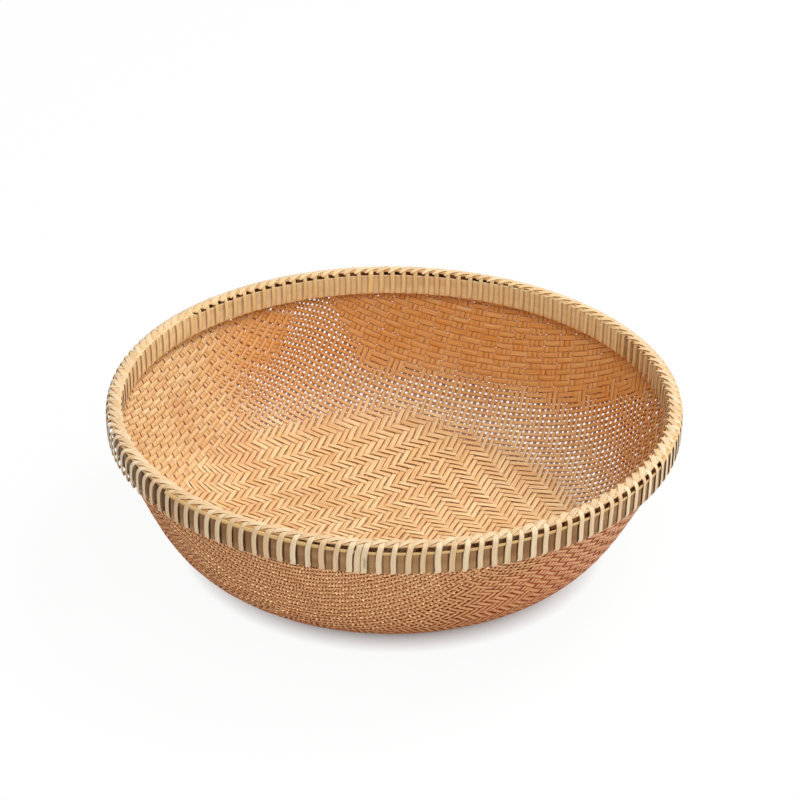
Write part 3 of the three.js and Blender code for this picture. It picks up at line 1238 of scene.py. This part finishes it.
    def dress(self, material: bpy.types.Material) -> None:
        """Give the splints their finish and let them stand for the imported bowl."""
        for piece in self.pieces:
            hand_over(piece, material, "splint", "woven_bowl")


# ---- The rim ----


class Side(Enum):
    """The side of the rim that a hoop is on."""

    OUTER = "outer"
    INNER = "inner"


@dataclass
class Hoop:
    """A bent bamboo strip whose tapered ends lie side by side over the lap."""

    side: Side
    inner: float
    outer: float
    lap_bearing: float
    slot: str
    bottom: float = 69.7
    top: float = 83.3
    rounding: tuple[float, int] = (0.7, 3)
    lap_length: float = 56.0
    lap_tip: float = 0.5
    lap_drop: float = 2.0
    clearance: float = 0.1
    steps: int = 288
    piece: Piece | None = None

    def build(self) -> None:
        """Bend the strip round the rim and taper its ends."""
        lap = self.lap_length / ((self.inner + self.outer) / 2)
        turn = FULL_TURN + lap
        self.piece = Bench.bend(f"hoop_{self.side.value}", (self.inner, self.bottom),
                                (self.outer, self.top), self.rounding, turn, self.steps)
        self.taper(lap, turn)
        Bench.close(self.piece)

    def taper(self, lap: float, turn: float) -> None:
        """Thin the two ends of the strip so that they share the hoop's thickness.

        Args:
            lap: Angle of the lap in radians.
            turn: Angle of the whole strip in radians.
        """
        points = read_points(self.piece) / MM
        x, y, height = points.T
        angle = np.arctan2(y, x)
        guess = rings_of(points, self.steps + 1) / self.steps * turn
        angle += FULL_TURN * np.round((guess - angle) / FULL_TURN)
        outwards = self.side is Side.OUTER
        radius = np.hypot(x, y)
        depth = radius - self.inner if outwards else self.outer - radius
        thick = self.outer - self.inner
        first = np.clip(angle / lap, 0, 1)
        last = np.clip((angle - FULL_TURN) / lap, 0, 1)
        growth = thick - self.clearance - 2 * self.lap_tip
        far = np.where(angle < lap, self.lap_tip + growth * first, thick)
        near = np.where(angle > FULL_TURN, self.lap_tip + growth * last + self.clearance, 0.0)
        depth = near + depth / thick * (far - near)
        radius = self.inner + depth if outwards else self.outer - depth
        bearing = angle + math.radians(self.lap_bearing)
        drop = self.lap_drop * last * (height - self.bottom) / (self.top - self.bottom)
        write_points(self.piece, polar(radius, bearing, height - drop) * MM)
        mark(self.piece.data, along=bearing * self.outer, height=height)

    def dress(self, finish: HoopFinish) -> None:
        """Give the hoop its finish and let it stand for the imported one."""
        hand_over(self.piece, finish.make(), self.slot, f"{self.side.value}_hoop")


@dataclass
class RimFiller:
    """Thin strip that lies on both hoops, over the cut edge of the weave."""

    middle: float = 145.35
    width: float = 5.1
    top: float = 84.0
    thickness: float = 0.95
    rounding: tuple[float, int] = (0.25, 2)
    joint: float = 1.0
    joint_bearing: float = 20.0
    steps: int = 240
    piece: Piece | None = None

    def build(self) -> None:
        """Bend the strip round the rim, short of its joint."""
        low = (self.middle - self.width / 2, self.top - self.thickness)
        high = (self.middle + self.width / 2, self.top)
        turn = FULL_TURN - self.joint / self.middle
        self.piece = Bench.bend("rim_strip", low, high, self.rounding, turn, self.steps)
        Bench.close(self.piece)
        x, y, height = read_points(self.piece).T
        angle = np.arctan2(y, x) + math.radians(self.joint_bearing)
        radius = np.hypot(x, y)
        write_points(self.piece, polar(radius, angle, height))
        mark(self.piece.data, along=angle * self.middle, height=radius / MM - self.middle)

    def dress(self, finish: HoopFinish) -> None:
        """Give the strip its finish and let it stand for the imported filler."""
        hand_over(self.piece, finish.make(), "bamboo_flesh", "rim_filler")


@dataclass
class CaneWork(ABC):
    """Flat cane on the rim: one stretch is modelled, and copied for every wrap.

    The cane has a golden tone on the inner side of the rim's back half.
    """

    count: WrapCount
    name: str = "cane"
    width: float = 3.0
    thickness: float = 0.55
    squareness: float = 0.65
    width_range: Pair = (0.9, 0.2)
    gilt: float = 0.6
    gilt_radii: Pair = (146.5, 143)
    gilt_right: Pair = (0, 40)
    gilt_left: Pair = (185, 140)
    seed: int = 0
    pieces: list[Piece] = field(default_factory=list)

    @abstractmethod
    def path(self) -> list[Vector]:
        """Trace the cane's middle line in the rim's straight pattern, in metres."""

    @abstractmethod
    def lay(self, points: Array, wrap: int, draws: Array) -> Iterator[tuple[Array, Numbers]]:
        """Lay a wrap's stretches of cane round the rim.

        Args:
            points: Points of the cane that is copied, in metres.
            wrap: Number of the wrap.
            draws: Chances of its width, tilt, shift and tone, from nought to one.

        Yields:
            The points of a copy, and the numbers that its finish reads.
        """

    def squared(self, across: Array) -> Array:
        """Carry the oval's corners outwards, so that the cane is flat with round edges."""
        half = self.width / 2
        return np.sign(across) * half * (np.abs(across) / half) ** self.squareness

    def gilding(self, points: Array) -> Array:
        """Work out where the cane has its golden tone.

        Args:
            points: Points in metres.

        Returns:
            The share of the golden tone at each point.
        """
        x, y, _ = points.T
        bearing = np.degrees(np.arctan2(y, x))
        inner = ease(np.hypot(x, y) / MM, self.gilt_radii)
        return self.gilt * inner * ease(bearing, self.gilt_right) * ease(bearing, self.gilt_left)

    def build(self) -> None:
        """Copy the stretch round the rim and join the copies strand by strand."""
        chance = np.random.default_rng(self.seed)
        master = Bench.cane(self.name, self.width, self.thickness, self.path())
        points = read_points(master)
        for strand in range(self.count.strands):
            copies = []
            for loop in range(self.count.loops):
                wrap = strand * self.count.loops + loop
                for places, numbers in self.lay(points, wrap, chance.random(4)):
                    twin = master.copy()
                    twin.data = master.data.copy()
                    bpy.context.collection.objects.link(twin)
                    write_points(twin, places)
                    mark(twin.data, **numbers)
                    copies.append(twin)
            self.pieces.append(Bench.join(copies, f"{self.name}_{strand + 1}"))
        mesh = master.data
        bpy.data.objects.remove(master)
        bpy.data.meshes.remove(mesh)


@dataclass
class CaneLashing(CaneWork):
    """Flat cane wound round both hoops, through the weave under them."""

    name: str = "cane_strand"
    seed: int = 23
    doubled: int = 1
    doubled_by: float = 1.22
    golden: int = 74
    narrowing: float = 0.17
    narrow_radii: Pair = (145, 142)
    stem_middle: float = 76.5
    stem_half: float = 8.0
    shift_range: float = 0.7
    tilt_range: float = 0.5
    paler: float = 0.7
    stain_share: float = 0.85
    stain_middle: Pair = (75.2, 0.45)
    stain_size: Pair = (2.6, 0.55)
    stain_from: float = 148.0

    def path(self) -> list[Vector]:
        """Trace one wrap.

        Returns:
            Places along the rim, radii and heights, in metres.
        """
        line = [
            (-3.0, 145.6, 69.4), (-2.2, 147.0, 69.35), (-1.2, 148.3, 69.35), (-0.5, 149.15, 69.6),
            (-0.15, 149.5, 70.4), (-0.05, 149.6, 71.4), (-0.2, 149.7, 73.8), (-0.2, 149.7, 76.5),
            (-0.05, 149.66, 79.3), (0.25, 149.5, 81.3), (0.55, 149.05, 82.7), (0.8, 148.3, 83.55),
            (1.0, 147.3, 83.98), (1.15, 145.6, 84.12), (1.25, 143.8, 84.05),
            (1.3, 142.7, 83.7), (1.3, 142.05, 83.0), (1.3, 141.75, 82.0), (1.15, 141.66, 79.0),
            (1.1, 141.62, 76.0), (1.15, 141.66, 73.0), (1.3, 141.72, 71.2), (1.5, 141.95, 70.1),
            (2.0, 142.7, 69.55), (2.7, 144.0, 69.4), (3.63, 145.6, 69.4)]
        return [Vector(place) * MM for place in line]

    def stain(self, points: Array, across: Array) -> Array:
        """Draw a dark streak half way up a wrap's outer side.

        Args:
            points: Points of the wrap in metres.
            across: Their distances from its middle line.

        Returns:
            The share of the stain at each point.
        """
        _, radius, height = points.T / MM
        offset = np.column_stack([height, across]) - self.stain_middle
        streak = np.exp(-np.sum((offset / self.stain_size) ** 2, axis=1))
        return self.stain_share * streak * (radius > self.stain_from)

    def lay(self, points: Array, wrap: int, draws: Array) -> Iterator[tuple[Array, Numbers]]:
        """Lay a wrap round the rim, twice where it is doubled.

        Args:
            points: Points of the cane that is copied, in metres.
            wrap: Number of the wrap.
            draws: Chances of its width, tilt, shift and tone, from nought to one.

        Yields:
            The points of a copy, and the numbers that its finish reads.
        """
        wide, tilt, shift, tone = draws
        path = np.array(self.path())
        ring = rings_of(points, len(path))
        across = self.squared((points[:, 0] - path[ring, 0]) / MM)
        own = points.copy()
        _, radius, height = points.T / MM
        width = self.width_range[0] + self.width_range[1] * wide
        width = width * (1 - self.narrowing * ease(radius, self.narrow_radii))
        stem = np.clip((height - self.stem_middle) / self.stem_half, -1, 1)
        aside = (shift - 0.5) * self.shift_range + (tilt - 0.5) * self.tilt_range * stem
        own[:, 0] = path[ring, 0] + (width * across + aside) * MM
        bearings = [self.count.bearing(wrap)]
        if wrap == self.doubled:
            bearings.append(bearings[0] - self.doubled_by)
        for turn, bearing in enumerate(bearings):
            places = around(own, bearing)
            stained = wrap == self.doubled and turn == 0
            # The edge number sets the painted shade on the cane's cut sides.
            yield places, {
                "along": lengths(path)[ring] / MM,
                "across": across,
                "edge": np.abs(across) / (self.width / 2),
                "tone": abs(tone - self.paler * turn),
                "stain": self.stain(own, across) if stained else 0.0,
                "gold": 1.0 if wrap == self.golden else self.gilding(places)}

    def dress(self, material: bpy.types.Material) -> None:
        """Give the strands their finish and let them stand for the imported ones."""
        for number, strand in enumerate(self.pieces, start=1):
            hand_over(strand, material, "cane", f"lashing_{number}")


@dataclass
class TopBinding(CaneWork):
    """Short slanting stretches of cane that cross the wraps on top of the rim."""

    name: str = "cane_binding"
    width: float = 3.3
    gilt: float = 0.3
    seed: int = 37
    pitch_radius: float = 145.5
    outer_end: Pair = (0.34, 147.1)
    inner_end: Pair = (1.46, 142.5)
    turn_range: float = 0.16
    shift_range: float = 0.5
    tone_range: Pair = (0.4, 0.6)

    def side_view(self) -> list[tuple[float, float, float]]:
        """Trace one stretch from the side.

        Returns:
            Rows of distance along it, height and share of its width.
        """
        return [(-4.7, 83.1, 0.4), (-4.2, 83.7, 0.68), (-3.4, 84.15, 0.9), (-2.3, 84.42, 1.0),
                (-1.0, 84.56, 1.0), (0.3, 84.58, 1.05), (1.6, 84.4, 1.1), (2.9, 84.02, 1.1),
                (4.1, 83.6, 0.95), (5.2, 82.9, 0.5)]

    def path(self) -> list[Vector]:
        """Trace one stretch lying along Y, in metres."""
        return [Vector((0, along, height)) * MM for along, height, _ in self.side_view()]

    def lay(self, points: Array, wrap: int, draws: Array) -> Iterator[tuple[Array, Numbers]]:
        """Lay a stretch over a wrap, slanting from the outer hoop to the inner one.

        Args:
            points: Points of the cane that is copied, in metres.
            wrap: Number of the wrap.
            draws: Chances of its width, tilt, shift and tone, from nought to one.

        Yields:
            The points of a copy, and the numbers that its finish reads.
        """
        wide, tilt, shift, tone = draws
        pitch = math.radians(self.count.pitch) * self.pitch_radius
        start, end = (np.array([share * pitch, radius])
                      for share, radius in (self.outer_end, self.inner_end))
        run = unit(end - start)
        x, along, height = points.T / MM
        shares = np.array(self.side_view())[rings_of(points, len(self.side_view())), 2]
        width = self.width_range[0] + self.width_range[1] * wide
        across = self.squared(x) * shares * width
        turn = (tilt - 0.5) * self.turn_range
        ahead = along * math.cos(turn) - across * math.sin(turn)
        aside = along * math.sin(turn) + across * math.cos(turn)
        plan = ((start + end) / 2 + ahead[:, None] * run
                + aside[:, None] * np.array([-run[1], run[0]]))
        plan[:, 0] += (shift - 0.5) * self.shift_range
        places = around(np.column_stack([plan, height]) * MM, self.count.bearing(wrap))
        # The edge number sets the painted shade on the cane's cut sides.
        yield places, {
            "along": along,
            "across": x,
            "edge": np.abs(x) / (self.width / 2),
            "tone": self.tone_range[0] + self.tone_range[1] * tone,
            "stain": 0.0,
            "gold": self.gilding(places)}

    def dress(self, material: bpy.types.Material) -> None:
        """Give the stretches the cane's finish."""
        for piece in self.pieces:
            hand_over(piece, material, "cane")


# ---- The studio ----


@dataclass(frozen=True)
class Lamp:
    """Soft square lamp that points at the basket, with its sizes in metres and watts."""

    name: str
    place: tuple[float, float, float]
    size: float
    power: float
    aim: tuple[float, float, float] = (0, 0, 0.04)

    def hang(self) -> None:
        """Add the lamp to the scene."""
        light = bpy.data.lights.new(self.name, "AREA")
        light.size = self.size
        light.energy = self.power
        lamp = bpy.data.objects.new(self.name, light)
        bpy.context.collection.objects.link(lamp)
        lamp.location = self.place
        way = Vector(self.aim) - Vector(self.place)
        lamp.rotation_euler = way.to_track_quat("-Z", "Y").to_euler()


@dataclass(frozen=True)
class Studio:
    """Pale floor, soft lamps and a white surround, with sizes in metres."""

    floor_size: float = 6.0
    floor_drop: float = 0.0002
    floor_colour: Colour = (240, 240, 240)
    floor_roughness: float = 0.9
    floor_gloss: float = 0.1
    floor_white: float = 0.94
    shade_ends: Pair = (0.096, 0.116)
    ambient: float = 0.48
    lamps: tuple[Lamp, ...] = (
        Lamp("lamp_key", (0.95, 0.65, 1.7), size=0.7, power=22.0),
        Lamp("lamp_top", (0.25, -0.6, 2.0), size=0.8, power=11.0),
        Lamp("lamp_fill", (0.7, -1.2, 1.4), size=1.6, power=6.0))

    def floor(self) -> None:
        """Lay the floor, which shows white to the camera and keeps the shadow."""
        Bench.clear()
        bpy.ops.mesh.primitive_plane_add(size=self.floor_size, location=(0, 0, -self.floor_drop))
        bpy.ops.object.transform_apply(location=True)
        floor = bpy.context.active_object
        floor.name = "studio_floor"
        nodes = Nodes("studio_floor_white")
        floor.data.materials.append(nodes.surface(
            srgb(self.floor_colour), self.floor_roughness, self.floor_gloss))
        glow = nodes.add("Emission", {"Strength": 1.0})
        path = nodes.add("LightPath")
        reach = nodes.add("VectorMath", {0: nodes.place()}, operation="LENGTH")
        white = nodes.span(reach.outputs["Value"], self.shade_ends, self.floor_white)
        seen = nodes.times(path.outputs["Is Camera Ray"], white)
        blend = nodes.add("MixShader", {0: seen, 1: nodes.shader.outputs[0], 2: glow.outputs[0]})
        nodes.feed(nodes.tree.nodes["Material Output"].inputs["Surface"], blend.outputs[0])
        floor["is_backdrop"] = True

    def world(self) -> None:
        """Fill the surround with soft light that the camera sees as white."""
        world = bpy.data.worlds.new("studio_surround")
        bpy.context.scene.world = world
        world.use_nodes = True
        tree = world.node_tree
        back = tree.nodes["Background"]
        back.inputs["Color"].default_value = (1, 1, 1, 1)
        path = tree.nodes.new("ShaderNodeLightPath")
        scale = tree.nodes.new("ShaderNodeMapRange")
        scale.inputs["To Min"].default_value = self.ambient
        scale.inputs["To Max"].default_value = 1.0
        tree.links.new(path.outputs["Is Camera Ray"], scale.inputs["Value"])
        tree.links.new(scale.outputs["Result"], back.inputs["Strength"])

    def set_up(self) -> None:
        """Lay the floor and light it."""
        self.floor()
        self.world()
        for lamp in self.lamps:
            lamp.hang()


@dataclass(frozen=True)
class CameraView:
    """Camera at the photograph's angle, with distances in metres."""

    elevation: float = 31.09
    distance: float = 1.15
    aim_height: float = 0.04
    nearest: float = 0.05
    sensor: float = 36.0
    focal_pixels: float = 2160.7
    centre: Pair = (393.7, 463.1)
    roll: float = 0.64

    def set_up(self) -> None:
        """Place the camera and make it the scene's own."""
        data = bpy.data.cameras.new("photo_camera")
        data.sensor_fit = "HORIZONTAL"
        data.sensor_width = self.sensor
        data.lens = self.focal_pixels / RENDER_SIZE * self.sensor
        data.shift_x = (RENDER_SIZE / 2 - self.centre[0]) / RENDER_SIZE
        data.shift_y = (self.centre[1] - RENDER_SIZE / 2) / RENDER_SIZE
        data.clip_start = self.nearest
        camera = bpy.data.objects.new("photo_camera", data)
        bpy.context.collection.objects.link(camera)
        rise = math.radians(self.elevation)
        aim = Vector((0, 0, self.aim_height))
        camera.location = aim + self.distance * Vector((0, -math.cos(rise), math.sin(rise)))
        look = (aim - camera.location).to_track_quat("-Z", "Y").to_matrix()
        spin = Matrix.Rotation(math.radians(self.roll), 3, "Z")
        camera.rotation_euler = (look @ spin).to_euler()
        bpy.context.scene.camera = camera


def write_sizes() -> None:
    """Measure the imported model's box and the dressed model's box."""
    bpy.context.view_layer.update()
    boxes = {"cad": CAD_BOX, "visual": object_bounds()}
    rows = {name: [[float(value) for value in corner] for corner in box]
            for name, box in boxes.items()}


def main() -> None:
    """Build the basket piece by piece, then the studio round it."""
    logging.basicConfig(level=logging.INFO, format="%(name)s: %(message)s")
    bpy.context.scene.view_settings.view_transform = "Standard"
    cane, count = CaneFinish().make(), WrapCount()
    outer = Hoop(Side.OUTER, inner=146.4, outer=149.3, lap_bearing=-116.0, slot="bamboo_skin")
    outer.build()
    # Both hoops get a painted shade beside each wrap; on the inner hoop it is lighter and more
    # even.
    outer.dress(HoopFinish(
        name="hoop_skin", face=(178, 136, 90), shade=(142, 100, 60), top=(224, 184, 122),
        top_ends=(82.0, 82.5), wraps=count))
    inner = Hoop(Side.INNER, inner=142.0, outer=144.5, lap_bearing=52.0, slot="bamboo_flesh")
    inner.build()
    inner.dress(HoopFinish(
        name="hoop_flesh", face=(250, 224, 178), shade=(230, 194, 142), top=(250, 224, 178),
        top_ends=(82.9, 83.4), wraps=count, wrap_shift=0.5, painted_shade=(112, 66, 28),
        painted_shade_share=0.4, painted_shade_even=0.7))
    filler = RimFiller()
    filler.build()
    filler.dress(HoopFinish(
        name="rim_strip_flesh", face=(240, 202, 150), shade=(222, 170, 114)))
    for cane_work in (CaneLashing(count), TopBinding(count)):
        cane_work.build()
        cane_work.dress(cane)
    shape, plan, splint = BowlShape(), WeavePlan(), SplintFinish().make()
    for way, seed in ((Way.ACROSS, 11), (Way.ALONG, 12)):
        splints = SplintSet(way, shape, plan, seed)
        splints.build()
        splints.dress(splint)
    Studio().set_up()
    CameraView().set_up()
    write_sizes()


if __name__ == "__main__":
    main()
